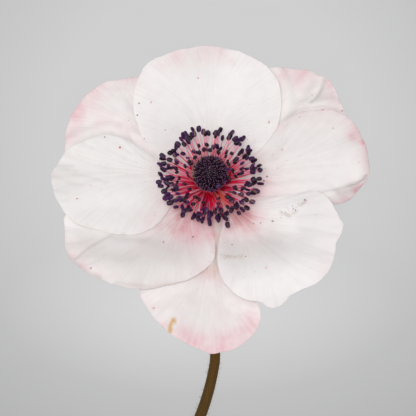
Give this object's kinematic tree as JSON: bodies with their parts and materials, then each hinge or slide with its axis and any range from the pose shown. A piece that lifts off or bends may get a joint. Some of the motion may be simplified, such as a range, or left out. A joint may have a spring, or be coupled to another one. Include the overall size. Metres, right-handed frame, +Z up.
{
  "type": "cut anemone flower",
  "caption": "Cut poppy anemone lying face up: pale petals in two whorls round a dark pistil and stamens, on a curved stem with a ruff of divided leafy bracts.",
  "frame": {"origin": "middle of the flower's bounding box, on the surface that it lies on", "axes": "+Z up from that surface; +Y from the cut end of the stem towards the flower; +X to the right when looking down on it with the flower at the top"},
  "size_m": [0.0898, 0.1648, 0.0433],
  "materials": {
    "petal": "thin soft petal, white with a faint pink blush at base and rim, satin to matte",
    "pistil": "matte purple-black, finely studded",
    "stamens": "red to pink filaments with matte blue-black anthers",
    "stem": "olive-brown soft stem with fine hairs, satin",
    "leaf": "green divided leaf, matte"
  },
  "bodies": {
    "root": {"petal_top": "petal", "petal_upper_left": "petal", "petal_left": "petal", "petal_lower_left": "petal", "petal_bottom": "petal", "petal_lower_right": "petal", "petal_right": "petal", "petal_upper_right": "petal", "pistil": "pistil", "stamens": "stamens", "stem": "stem", "ruff": "leaf"}
  },
  "joints": []
}
